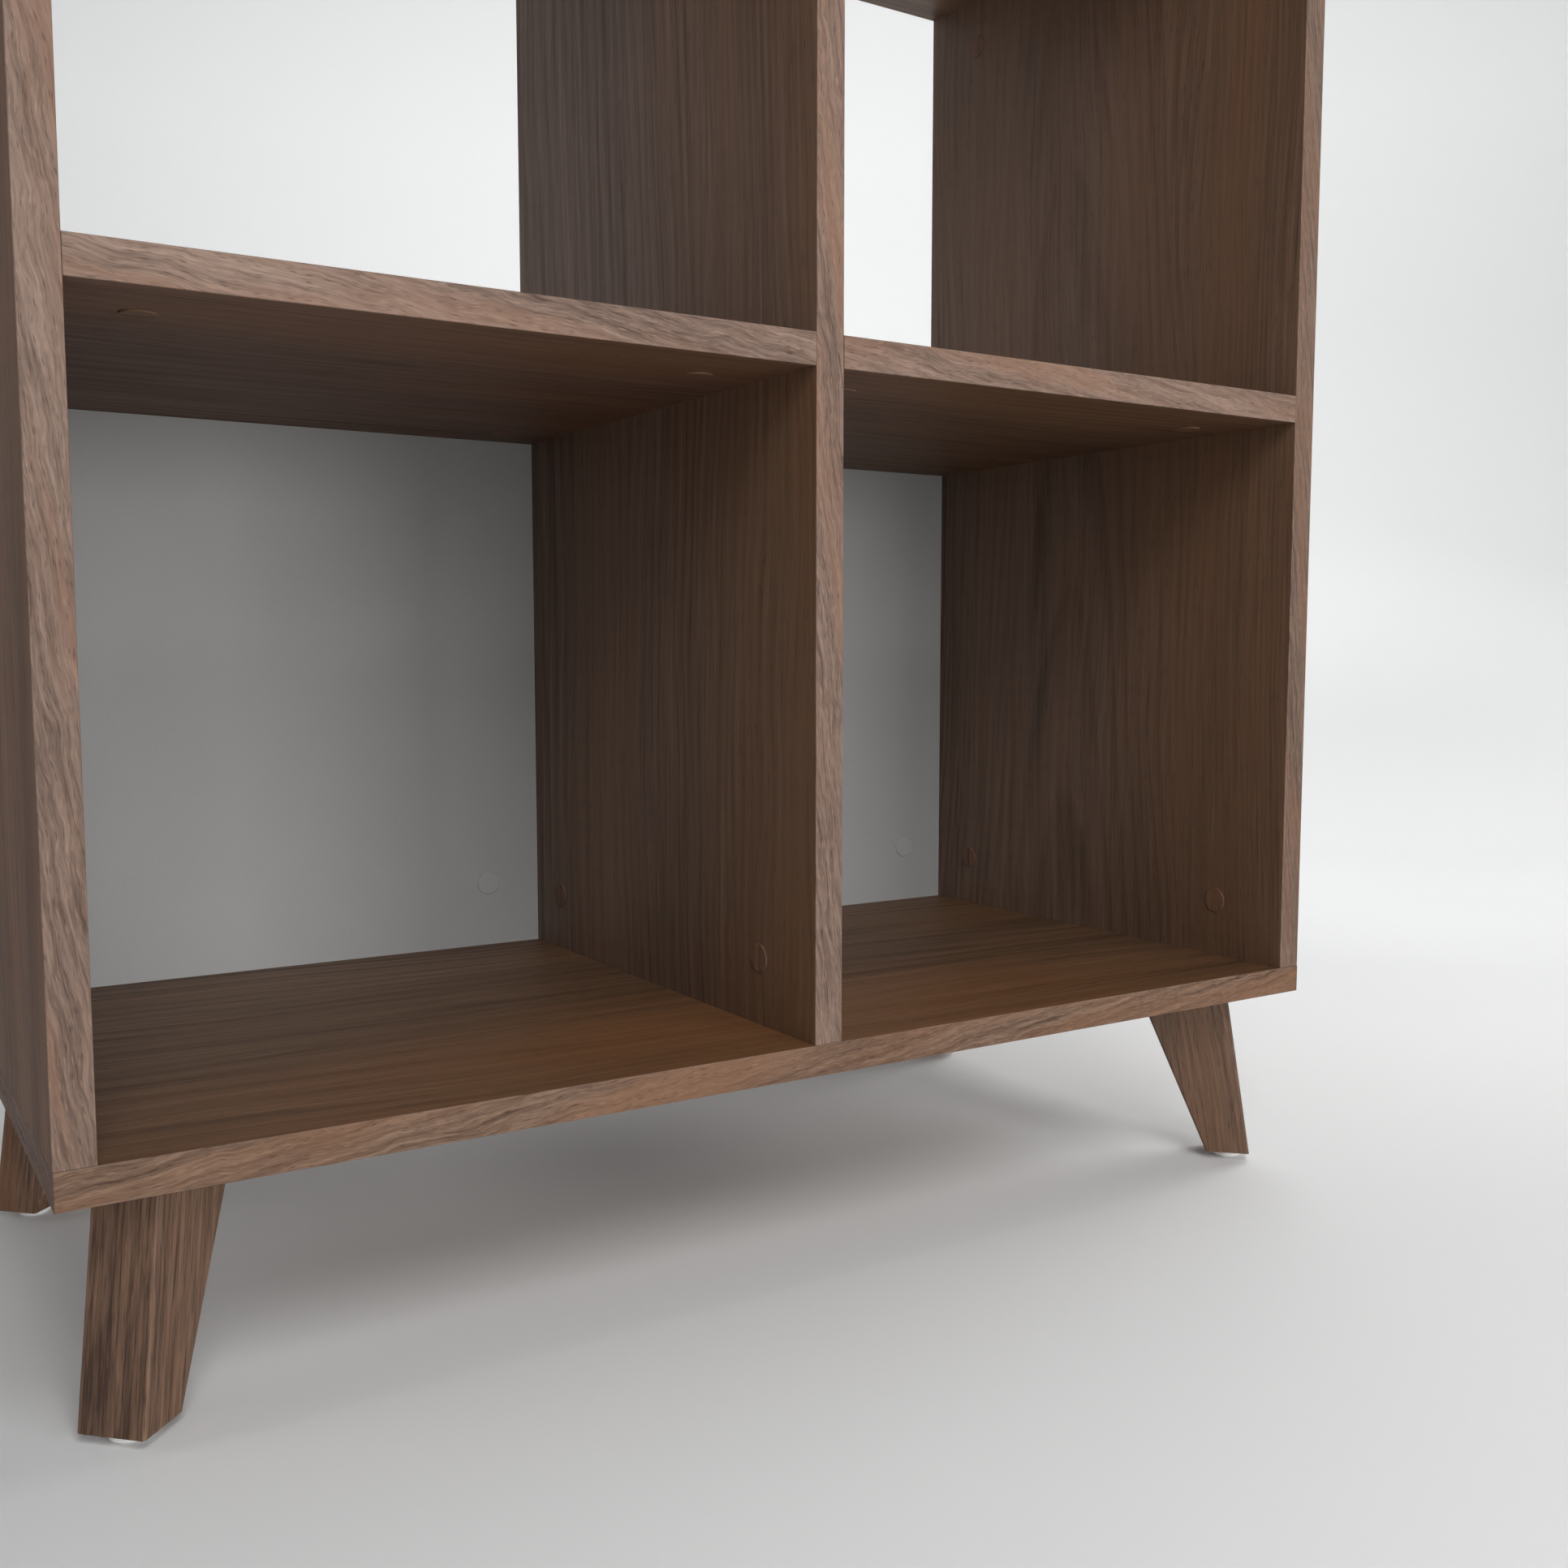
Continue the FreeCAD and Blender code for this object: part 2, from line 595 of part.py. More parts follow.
def cam_disc():
    # Origin on the board's face over the bore, +Z out of the board, +X towards the mating board.
    body = new_body("one_cam_disc")
    across = "dims.cam_across / 2"
    revolve(body, [
        ("0", "-dims.cam_bore_deep"),
        (across, "-dims.cam_bore_deep"),
        (across, "-dims.cam_sink"),
        ("0", "-dims.cam_sink"),
    ])
    throat = body.newObject("PartDesign::SubtractiveCylinder", "throat")
    throat.setExpression("Radius", f"{bolt_bore} / 2")
    throat.setExpression("Height", "dims.cam_across / 2 + dims.bolt_shoulder / 2")
    place(throat, ("-dims.bolt_shoulder / 2", "0", "-dims.bolt_depth"), FreeCAD.Rotation(yAxis, 90))
    driver_slot(body, "dims.cam_slot_long", "dims.cam_slot_wide", "dims.cam_slot_deep", "-dims.cam_sink")
    return body


def cover_cap(name):
    # Thin disc on the board's face with a spigot in the bore.
    body = new_body(name)
    rim, spigot = "(dims.cam_across / 2 + dims.cap_lip)", "(dims.cam_across / 2 - dims.fit)"
    revolve(body, [
        ("0", "-dims.cap_spigot"),
        (spigot, "-dims.cap_spigot"),
        (spigot, "0"),
        (rim, "0"),
        (rim, "dims.cap_thick / 2"),
        (f"{rim} - dims.cap_thick / 2", "dims.cap_thick"),
        ("0", "dims.cap_thick"),
    ])
    return body


def bolt_end(first, sign=""):
    # Profile of a cam bolt from the end of its shank to its head, on one side of the joint.
    shank, neck, head = "dims.bolt_across / 2", "dims.bolt_neck / 2", "dims.bolt_head / 2"
    reach = [f"{first} - dims.bolt_shoulder", f"{first} - dims.bolt_shoulder / 3",
             f"{first} + dims.bolt_shoulder / 3"]
    corners = [(shank, reach[0]), (neck, reach[0]), (neck, reach[1]), (head, reach[1]), (head, reach[2])]
    return [(radius, signed(sign, height)) for radius, height in corners]


def cam_bolt():
    # Origin on the mating face, +Z towards the cam disc.
    body = new_body("one_cam_bolt")
    thread = "dims.thread_across / 2"
    corners = [("0", "-dims.thread_long"), (thread, "-dims.thread_long"), (thread, "0"),
               ("dims.bolt_across / 2", "0")]
    corners += bolt_end("dims.cam_reach")
    corners.append(("0", corners[-1][1]))
    revolve(body, corners)
    return body


def through_cam_bolt():
    # Origin in the middle of the divider, a head at each end.
    body = new_body("one_through_cam_bolt")
    reach = f"{half_board} + dims.cam_reach"
    upper = bolt_end(reach)
    lower = bolt_end(reach, "-")
    lower.reverse()
    corners = [("0", lower[0][1])] + lower + upper + [("0", upper[-1][1])]
    revolve(body, corners)
    return body


def peg(name, low, high):
    # Wooden dowel with chamfered ends between two heights.
    body = new_body(name)
    radius = "dims.dowel_across / 2"
    nose = "dims.dowel_nose"
    revolve(body, [
        ("0", low),
        (f"{radius} - {nose}", low),
        (radius, f"{low} + {nose}"),
        (radius, f"{high} - {nose}"),
        (f"{radius} - {nose}", high),
        ("0", high),
    ])
    return body


def countersunk_screw(name, across, head, long):
    # Origin at the top of the head, the shank along -Z.
    body = new_body(name)
    shank, rim = f"{across} / 2", f"{head} / 2"
    slope = f"({head} - {across}) / 2"
    revolve(body, [
        ("0", "0"),
        (rim, "0"),
        (shank, f"-{slope}"),
        (shank, f"-({long} - {across})"),
        ("0", f"-{long}"),
    ])
    arm = f"{head} * dims.cross_long"
    driver_slot(body, arm, "dims.cross_wide", "dims.cross_deep", "0")
    driver_slot(body, "dims.cross_wide", arm, "dims.cross_deep", "0")
    return body


def glide_nail():
    # Origin where the shank leaves the head, the shank along +Z.
    body = new_body("one_glide_nail")
    shank, head = "dims.nail_across / 2", "dims.nail_head / 2"
    revolve(body, [
        ("0", "-dims.nail_head_thick"),
        (head, "-dims.nail_head_thick"),
        (head, "0"),
        (shank, "0"),
        (shank, "dims.nail_long - dims.nail_across"),
        ("0", "dims.nail_long"),
    ])
    return body


# Every cam fitting: (where, out of the board, towards the mating board).
wood_cams = []
grey_cams = []
bolts = []
pegs = []
for column, face in columns:
    face_x = f"{column} + {half_board}" if face > 0 else f"{column} - {half_board}"
    bolt_x = bolt_column(column, face)
    for joint, toward, climb in ((floor_top, -zAxis, "+"), (roof, zAxis, "-")):
        up = -toward
        for sign in both:
            level = f"{joint} {climb} dims.cam_reach"
            wood_cams.append(((face_x, signed(sign, cam_y), level), turned(xAxis * face, toward)))
            bolts.append(((bolt_x, signed(sign, cam_y), joint), FreeCAD.Rotation(zAxis, up)))
            pegs.append(((column, signed(sign, dowel_y), joint), FreeCAD.Rotation(zAxis, up)))

shelf_level = f"{shelf_low} + dims.bolt_depth"
peg_level = f"{shelf_low} + {half_board}"
back_level = f"{floor_top} + dims.back_cam_rise"
back_face = f"{half_depth} - dims.back_board"
inner_side = f"({side_x} - {half_board})"
for hand in both:
    outer = xAxis if hand == "" else -xAxis
    for sign in both:
        toward = xAxis if sign == "" else -xAxis
        across = f"{signed(hand, cell_x)} + {signed(sign, cell_cam_x)}"
        for end in both:
            wood_cams.append(((across, signed(end, cam_y), shelf_low), turned(-zAxis, toward)))
        grey_cams.append(((across, back_face, back_level), turned(-yAxis, toward)))
    turn = FreeCAD.Rotation(zAxis, -outer)
    for end in both:
        bolts.append(((signed(hand, inner_side), signed(end, cam_y), shelf_level), turn))
        pegs.append(((signed(hand, inner_side), signed(end, dowel_y), peg_level), turn))
    bolts.append(((signed(hand, inner_side), back_bolt_y, back_level), turn))
    for sign in both:
        across = f"{signed(hand, cell_x)} + {signed(sign, back_dowel_x)}"
        pegs.append(((across, back_y, shelf_low), FreeCAD.Rotation(zAxis, -zAxis)))

sideways = FreeCAD.Rotation(yAxis, 90)
through_bolts = [(("0", signed(end, cam_y), shelf_level), sideways) for end in both]
through_bolts.append((("0", back_bolt_y, back_level), sideways))
through_pegs = [(("0", signed(end, dowel_y), peg_level), sideways) for end in both]

group("cam_discs", cam_disc(), wood_cams + grey_cams)
group("cam_bolts", cam_bolt(), bolts)
group("through_cam_bolts", through_cam_bolt(), through_bolts)
peg_low = "-(dims.dowel_in_face - dims.end_slack)"
peg_high = "(dims.dowel_in_edge - dims.end_slack)"
group("dowels", peg("one_dowel", peg_low, peg_high), pegs)
through_reach = f"({half_board} + dims.dowel_in_edge - dims.end_slack)"
group("through_dowels", peg("one_through_dowel", f"-{through_reach}", through_reach), through_pegs)
group("wood_cam_caps", cover_cap("one_wood_cap"), wood_cams)
group("grey_cam_caps", cover_cap("one_grey_cap"), grey_cams)

upwards = FreeCAD.Rotation(xAxis, 180)
group("plate_screws",
      countersunk_screw("one_plate_screw", "dims.board_screw", "dims.board_screw_head",
                        "dims.board_screw_long"),
      [((x, y, f"{deck} - dims.plate_thick"), upwards) for x, y in plate_screw_places])
group("leg_screws",
      countersunk_screw("one_leg_screw", "dims.leg_screw", "dims.leg_screw_head",
                        "dims.leg_screw_long"),
      [((x, y, deck), FreeCAD.Rotation()) for x, y in leg_screw_places])
group("glide_nails", glide_nail(),
      [((x, y, "dims.recess_deep"), FreeCAD.Rotation()) for x, y in nail_places])

# ---------------------------------------------------------------- checks and files

doc.recompute()
for thing in doc.Objects:
    if "Invalid" in thing.State or "Error" in thing.State:
        raise RuntimeError(f"{thing.Label} did not recompute: {thing.State}")
for thing in doc.Objects:
    if thing.TypeId == "PartDesign::Pocket" and thing.Shape.Volume > thing.BaseFeature.Shape.Volume - 0.1:
        raise RuntimeError(f"{thing.Label} of {thing.getParentGeoFeatureGroup().Label} cuts nothing")

os.makedirs("parts", exist_ok=True)
for node in nodes:
    shape = node.Shape
    if shape.isNull() or not shape.isValid():
        raise RuntimeError(f"{node.Label} has no valid shape")
    shape.exportStep(f"parts/{node.Label}.step")
    print(f"{node.Label}: {len(shape.Solids)} solid(s), {shape.Volume / 1000:.1f} cm3")
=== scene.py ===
import bpy
import math
import numpy as np
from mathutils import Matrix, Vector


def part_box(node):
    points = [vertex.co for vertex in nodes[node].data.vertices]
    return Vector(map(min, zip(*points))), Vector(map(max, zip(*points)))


# Open cube storage unit on splayed legs: finishes for the framed parts, a pale studio, soft lights.
# Metres throughout. +X to the right as seen from the open front, +Y to the rear, +Z up.

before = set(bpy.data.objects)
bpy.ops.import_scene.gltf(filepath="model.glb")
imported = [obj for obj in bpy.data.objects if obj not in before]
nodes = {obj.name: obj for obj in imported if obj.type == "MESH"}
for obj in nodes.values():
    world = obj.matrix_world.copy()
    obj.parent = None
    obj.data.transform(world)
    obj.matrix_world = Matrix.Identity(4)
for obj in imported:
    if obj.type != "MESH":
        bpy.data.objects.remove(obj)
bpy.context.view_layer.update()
print("frame loaded:", len(nodes), "nodes")


def startMaterial(name):
    # An empty material with its Principled shader wired to the output.
    material = bpy.data.materials.new(name)
    material.use_nodes = True
    tree = material.node_tree
    tree.nodes.clear()
    output = tree.nodes.new("ShaderNodeOutputMaterial")
    shader = tree.nodes.new("ShaderNodeBsdfPrincipled")
    tree.links.new(shader.outputs["BSDF"], output.inputs["Surface"])
    return material, tree, shader


def feed(tree, socket, value):
    # Links a socket to another socket, or sets it to a number, a point or a colour.
    if isinstance(value, bpy.types.NodeSocket):
        tree.links.new(value, socket)
    elif isinstance(value, (tuple, list)) and socket.type == "RGBA" and len(value) == 3:
        socket.default_value = (*value, 1.0)
    else:
        socket.default_value = value


def calc(tree, operation, *values, clamp=False):
    # One Math node.
    node = tree.nodes.new("ShaderNodeMath")
    node.operation = operation
    node.use_clamp = clamp
    for socket, value in zip(node.inputs, values):
        feed(tree, socket, value)
    return node.outputs[0]


def remap(tree, value, low, high, toLow=0.0, toHigh=1.0, kind="SMOOTHSTEP"):
    # Takes low..high to toLow..toHigh along a smooth step, or a straight line.
    node = tree.nodes.new("ShaderNodeMapRange")
    node.interpolation_type = kind
    for name, number in (("Value", value), ("From Min", low), ("From Max", high),
                         ("To Min", toLow), ("To Max", toHigh)):
        feed(tree, node.inputs[name], number)
    return node.outputs["Result"]


def blendColour(tree, amount, first, second, kind="MIX"):
    node = tree.nodes.new("ShaderNodeMix")
    node.data_type = "RGBA"
    node.blend_type = kind
    feed(tree, node.inputs[0], amount)
    feed(tree, node.inputs[6], first)
    feed(tree, node.inputs[7], second)
    return node.outputs[2]


def noise(tree, vector, scale, detail=2.0, roughness=0.5, distortion=0.0):
    node = tree.nodes.new("ShaderNodeTexNoise")
    feed(tree, node.inputs["Vector"], vector)
    for name, number in (("Scale", scale), ("Detail", detail), ("Roughness", roughness),
                         ("Distortion", distortion)):
        feed(tree, node.inputs[name], number)
    return node.outputs["Fac"]


def mapped(tree, vector, move=(0, 0, 0), turn=(0, 0, 0), scale=(1, 1, 1)):
    node = tree.nodes.new("ShaderNodeMapping")
    feed(tree, node.inputs["Vector"], vector)
    node.inputs["Location"].default_value = move
    node.inputs["Rotation"].default_value = [math.radians(angle) for angle in turn]
    node.inputs["Scale"].default_value = scale
    return node.outputs["Vector"]


def here(tree):
    return tree.nodes.new("ShaderNodeTexCoord").outputs["Object"]


def together(tree, x, y, z):
    joined = tree.nodes.new("ShaderNodeCombineXYZ")
    for socket, value in zip(joined.inputs, (x, y, z)):
        feed(tree, socket, value)
    return joined.outputs[0]


def apart(tree, point):
    split = tree.nodes.new("ShaderNodeSeparateXYZ")
    feed(tree, split.inputs[0], point)
    return split.outputs


def eitherPoint(tree, chooser, first, second):
    # The first point where the chooser is 0, the second where it is 1.
    node = tree.nodes.new("ShaderNodeMix")
    node.data_type = "VECTOR"
    feed(tree, node.inputs[0], chooser)
    feed(tree, node.inputs[4], first)
    feed(tree, node.inputs[5], second)
    return node.outputs[1]


def farFrom(tree, spot):
    # Distance from a spot, metres.
    away = tree.nodes.new("ShaderNodeVectorMath")
    away.operation = "DISTANCE"
    feed(tree, away.inputs[0], here(tree))
    away.inputs[1].default_value = spot
    return away.outputs["Value"]


def relief(tree, shader, height, distance, strength=1.0):
    bump = tree.nodes.new("ShaderNodeBump")
    bump.inputs["Strength"].default_value = strength
    bump.inputs["Distance"].default_value = distance
    feed(tree, bump.inputs["Height"], height)
    feed(tree, shader.inputs["Normal"], bump.outputs["Normal"])


def finish(names, material):
    for name in names:
        for slot in nodes[name].material_slots:
            slot.material = material


walnut = {
    "light": (0.215, 0.118, 0.070),
    "dark": (0.070, 0.036, 0.021),
    "warm": (0.185, 0.090, 0.044),
    "pore": (0.022, 0.013, 0.009),
    "cloud": (0.70, 0.090),     # sizes along and across the grain, metres
    "streak": (0.30, 0.0050),
    "fibre": (0.050, 0.0009),
    "poreCell": (0.016, 0.0011),
    "wander": (0.45, 0.12),
    "wanderReach": 0.050,       # how far the rings drift sideways
    "weights": (0.85, 1.15, 1.50),  # of clouds, streaks and fibres
    "ringDepth": 0.30,
    "slant": 45,                # rings per metre through the board
    "slope": 0.0,               # sideways run of the grain per metre along
    "roughness": (0.46, 0.62),
    "shine": 0.30,
    "tint": (1, 1, 1),
    "reliefDepth": 0.00007,
}
bandWalnut = dict(
    walnut,
    light=(0.290, 0.200, 0.152),
    dark=(0.078, 0.044, 0.031),
    warm=(0.240, 0.130, 0.080),
    # colour of the paler edge line: partly wear, partly a painted highlight
    wearAndHighlight=(0.34, 0.24, 0.19),
    fleck=(0.46, 0.30, 0.21),
    fleckDepth=0.35,
    cloud=(0.22, 0.020),
    streak=(0.045, 0.0021),
    fibre=(0.011, 0.0009),
    poreCell=(0.0075, 0.0009),
    wander=(0.030, 0.020),
    wanderReach=0.008,
    weights=(0.80, 1.35, 1.30),
    ringDepth=0.22,
    slope=0.13,
    tint=(0.86, 0.82, 0.80),
)
legWalnut = dict(
    walnut,
    light=(0.240, 0.135, 0.082),
    dark=(0.058, 0.031, 0.019),
    streak=(0.14, 0.0045),
    cloud=(0.25, 0.04),
    fibre=(0.03, 0.0012),
    wander=(0.2, 0.06),
    wanderReach=0.012,
    weights=(0.70, 1.85, 2.20),
    heart=0.14,
    density=700,
    taper=9,
)
capWalnut = dict(
    walnut,
    light=(0.240, 0.132, 0.080),
    dark=(0.085, 0.045, 0.028),
    heart=0.4,
    density=180,
    taper=5,
    seed=31.3,
)
beech = dict(
    walnut,
    light=(0.56, 0.40, 0.25),
    dark=(0.42, 0.28, 0.16),
    warm=(0.50, 0.32, 0.18),
    pore=(0.30, 0.18, 0.10),
    heart=0.3,
    density=900,
    taper=5,
    seed=41.3,
)
drawing = {
    "baseShade": 0.56,              # 0 is the dark colour, 1 the light one
    "ringRise": (0.25, 0.84),       # share of a ring over which its line darkens
    "ringFall": (0.86, 1.0),        # and over which it ends
    "ringPatch": (0.4, 0.03),       # stretches of strong and faint rings, along and across, metres
    "faintRing": 0.25,
    "poreEdge": (0.12, 0.34),       # of a cell: inside the first all pore, past the second none
    "poreLot": (0.35, 0.75),        # cells drawn under the first stay empty
    "poreDepth": 0.55,
    "warmDepth": 0.55,
    "warmFrom": (0.42, 0.66),
    "fleckStretch": (0.8, 1, 1),
    "fibreRelief": 0.6,
    "ringRelief": -0.35,
}
noiseSpan = (0.3, 0.7)      # where a noise mostly lies


def grainSpace(tree, centre, axes, turns=()):
    # Distances along the grain, across the broad face and through the piece, from its middle.
    point = tree.nodes.new("ShaderNodeVectorMath")
    point.operation = "SUBTRACT"
    feed(tree, point.inputs[0], here(tree))
    point.inputs[1].default_value = centre
    point = point.outputs["Vector"]
    for turn in turns:
        point = mapped(tree, point, turn=turn)
    parts = apart(tree, point)
    return together(tree, *[parts[axis] for axis in axes])


def stretched(tree, grain, size, seed):
    # Grain coordinates in units of a pattern's own size, moved by the seed.
    along, across = size
    return mapped(tree, grain, move=(seed * 3.7, seed * 8.3, seed * 5.9),
                  scale=(1 / along, 1 / across, 1 / across))


def poreMask(tree, grain, look, seed):
    # Short dark dashes: small discs in stretched cells, about half of the cells empty.
    cells = tree.nodes.new("ShaderNodeTexVoronoi")
    feed(tree, cells.inputs["Vector"], stretched(tree, grain, look["poreCell"], seed))
    cells.inputs["Scale"].default_value = 1.0
    dash = remap(tree, cells.outputs["Distance"], *drawing["poreEdge"], 1.0, 0.0)
    lot = apart(tree, cells.outputs["Color"])[0]
    return calc(tree, "MULTIPLY", dash, remap(tree, lot, *drawing["poreLot"]))


def flowing(tree, grain, look, seed):
    # Grain coordinates whose second value runs along the wandering, sloping grain lines:
    # across + slope x along + wanderReach x noise.
    along, across, through = apart(tree, grain)
    drift = noise(tree, stretched(tree, grain, look["wander"], seed), 1.0, detail=2.0)
    drift = calc(tree, "MULTIPLY", calc(tree, "SUBTRACT", drift, 0.5), look["wanderReach"])
    across = calc(tree, "MULTIPLY_ADD", along, look["slope"], calc(tree, "ADD", across, drift))
    return together(tree, along, across, through)


def ringLines(tree, grain, look):
    # Rings of a flat-sawn board: ring number = density x (across - heart)^2 + taper x along
    # + slant x through, so that the lines are arches over the heart and run straight beside it.
    # Each line darkens slowly and ends sharply.
    along, across, through = apart(tree, grain)
    offset = calc(tree, "SUBTRACT", across, look["heart"])
    ring = calc(tree, "MULTIPLY", calc(tree, "MULTIPLY", offset, offset), look["density"])
    ring = calc(tree, "MULTIPLY_ADD", along, look["taper"], ring)
    ring = calc(tree, "MULTIPLY_ADD", through, look["slant"], ring)
    phase = calc(tree, "FRACT", ring)
    rise = remap(tree, phase, *drawing["ringRise"])
    fall = remap(tree, phase, *drawing["ringFall"], 1.0, 0.0)
    line = calc(tree, "MULTIPLY", rise, fall)
    strength = noise(tree, stretched(tree, grain, drawing["ringPatch"], look["seed"] + 4), 1.0, detail=1.0)
    strength = remap(tree, strength, *noiseSpan, drawing["faintRing"], 1.0)
    return calc(tree, "MULTIPLY", line, strength)


def woodFinish(look, grain, tree, shader):
    # Colour from clouds, streaks, fibres, rings and pores; the last three give the relief too. Some boards
    # add a painted pool of light and a painted sheen.
    seed = look["seed"]
    board = grain
    grain = flowing(tree, grain, look, seed)
    cloud = noise(tree, stretched(tree, grain, look["cloud"], seed), 1.0, detail=3.0)
    streak = noise(tree, stretched(tree, grain, look["streak"], seed + 1), 1.0, detail=3.0, roughness=0.6)
    fibre = noise(tree, stretched(tree, grain, look["fibre"], seed + 2), 1.0, detail=3.0, roughness=0.65)
    ring = ringLines(tree, grain, look)
    pore = poreMask(tree, grain, look, seed + 3)
    shade = drawing["baseShade"]
    for value, weight in zip((cloud, streak, fibre), look["weights"]):
        shade = calc(tree, "MULTIPLY_ADD", calc(tree, "SUBTRACT", value, 0.5), weight, shade)
    shade = calc(tree, "MULTIPLY_ADD", ring, -look["ringDepth"], shade, clamp=True)
    colour = blendColour(tree, shade, look["dark"], look["light"])
    blush = noise(tree, stretched(tree, grain, look["cloud"], seed + 5), 1.0, detail=2.0)
    blush = remap(tree, blush, *drawing["warmFrom"], 0.0, drawing["warmDepth"])
    colour = blendColour(tree, blush, colour, look["warm"])
    if "fleck" in look:
        fleck = poreMask(tree, mapped(tree, grain, scale=drawing["fleckStretch"]), look, seed + 9)
        colour = blendColour(tree, calc(tree, "MULTIPLY", fleck, look["fleckDepth"]), colour, look["fleck"])
    # Painted light: a warm pool of bounced light on the bottom board, towards its front.
    if "paintedGlow" in look:
        colour = blendColour(tree, paintedGlowMask(tree, board, look["paintedGlow"]), colour, look["paintedGlow"]["tint"],
                             kind="MULTIPLY")
    # Painted sheen: brighter and bluer towards the rear, standing in for a cool reflection seen at a
    # grazing angle.
    if "paintedRearSheen" in look:
        near, far, nearTint, farTint = look["paintedRearSheen"]
        leaf = remap(tree, apart(tree, grain)[1], near, far)
        colour = blendColour(tree, 1.0, colour, blendColour(tree, leaf, nearTint, farTint), kind="MULTIPLY")
    colour = blendColour(tree, calc(tree, "MULTIPLY", pore, drawing["poreDepth"]), colour, look["pore"])
    colour = blendColour(tree, 1.0, colour, look["tint"], kind="MULTIPLY")
    smooth, coarse = look["roughness"]
    rough = remap(tree, shade, 0.0, 1.0, coarse, smooth, kind="LINEAR")
    height = calc(tree, "MULTIPLY", fibre, drawing["fibreRelief"])
    height = calc(tree, "MULTIPLY_ADD", ring, drawing["ringRelief"], height)
    height = calc(tree, "MULTIPLY_ADD", pore, -1.0, height)
    feed(tree, shader.inputs["Roughness"], rough)
    shader.inputs["Specular IOR Level"].default_value = look["shine"]
    relief(tree, shader, height, look["reliefDepth"])
    return colour


def paintedGlowMask(tree, grain, paintedGlow):
    # A soft oval patch of painted light, a warm pool of bounced light: 1 in its middle, 0 past its edge.
    along, across, through = apart(tree, grain)
    square = 0.0
    for value, middlePoint, reach in ((along, paintedGlow["at"][0], paintedGlow["size"][0]),
                                      (across, paintedGlow["at"][1], paintedGlow["size"][1])):
        part = calc(tree, "DIVIDE", calc(tree, "SUBTRACT", value, middlePoint), reach)
        square = calc(tree, "MULTIPLY_ADD", part, part, square)
    return remap(tree, square, 1.0, 0.0)


# The tints on single boards are partly their own tone and partly painted shade, set for each board's lit
# tone.
boards = {
    "bottom_board": {"axes": (0, 1, 2), "heart": -0.34, "density": 75, "taper": 3, "seed": 1.3,
                     "ringDepth": 0.40, "shine": 0.35, "tint": (0.94, 0.93, 0.82),
                     # the patch below is painted light: a warm pool of bounced light
                     "paintedGlow": {"at": (0.00, -0.17), "size": (0.47, 0.17), "tint": (1.29, 1.15, 0.97)}},
    "top_board": {"axes": (0, 1, 2), "heart": 0.05, "density": 800, "taper": 6, "seed": 2.6},
    "left_side_panel": {"axes": (2, 1, 0), "heart": 0.31, "density": 260, "taper": 4, "seed": 3.9,
                        "shine": 0.12, "tint": (0.97, 0.89, 0.80)},
    "right_side_panel": {"axes": (2, 1, 0), "heart": 0.02, "density": 480, "taper": 6, "seed": 5.1,
                         "ringDepth": 0.30, "shine": 0.5, "weights": (0.45, 1.15, 1.50),
                         # painted cool sheen towards the rear
                         "paintedRearSheen": (-0.17, 0.08, (0.98, 0.99, 0.97), (0.99, 1.12, 1.30))},
    "centre_divider": {"axes": (2, 1, 0), "heart": 0.36, "density": 120, "taper": 3, "seed": 6.4,
                       "shine": 0.5, "weights": (0.45, 1.15, 1.50),
                       # painted cool sheen towards the rear
                       "paintedRearSheen": (-0.17, 0.08, (1.05, 1.07, 1.05), (1.12, 1.27, 1.48))},
    "left_shelf": {"axes": (0, 1, 2), "heart": 0.30, "density": 240, "taper": 4, "seed": 7.7,
                   "tint": (1.00, 0.98, 1.00)},
    "right_shelf": {"axes": (0, 1, 2), "heart": -0.33, "density": 230, "taper": 4, "seed": 8.2,
                    "tint": (0.86, 0.83, 0.74)},
}


def middle(name):
    low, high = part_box(name)
    return (low + high) / 2


def finishBoards():
    for name, figure in boards.items():
        material, tree, shader = startMaterial("walnut_" + name)
        grain = grainSpace(tree, middle(name), figure["axes"])
        colour = woodFinish(dict(walnut, **figure), grain, tree, shader)
        feed(tree, shader.inputs["Base Color"], colour)
        finish([name], material)


# The tints on the left and right side bands are painted shade: they darken the bands that the lamps light
# most.
stripBands = {
    "left_side_edge_bands": {"axes": (2, 0, 1), "heart": -0.9, "density": 95, "taper": 12, "seed": 11.5,
                             "tint": (0.80, 0.76, 0.74)},
    "centre_divider_edge_bands": {"axes": (2, 0, 1), "heart": -0.8, "density": 105, "taper": 10,
                                  "seed": 12.8},
    "right_side_edge_bands": {"axes": (2, 0, 1), "heart": -0.9, "density": 95, "taper": 9, "seed": 13.3,
                              "tint": (0.70, 0.66, 0.62)},
    "left_shelf_edge_bands": {"axes": (0, 2, 1), "heart": -0.8, "density": 100, "taper": 10, "seed": 14.1},
    "right_shelf_edge_bands": {"axes": (0, 2, 1), "heart": -0.9, "density": 95, "taper": 9, "seed": 15.9},
}
frameBands = {
    "bottom_board_edge_bands": {"heart": -0.9, "density": 90, "taper": -9, "seed": 16.4,
                                "slope": -0.10, "shine": 0.15, "tint": (0.79, 0.73, 0.65)},
    "top_board_edge_bands": {"heart": -0.8, "density": 100, "taper": 9, "seed": 17.2},
}
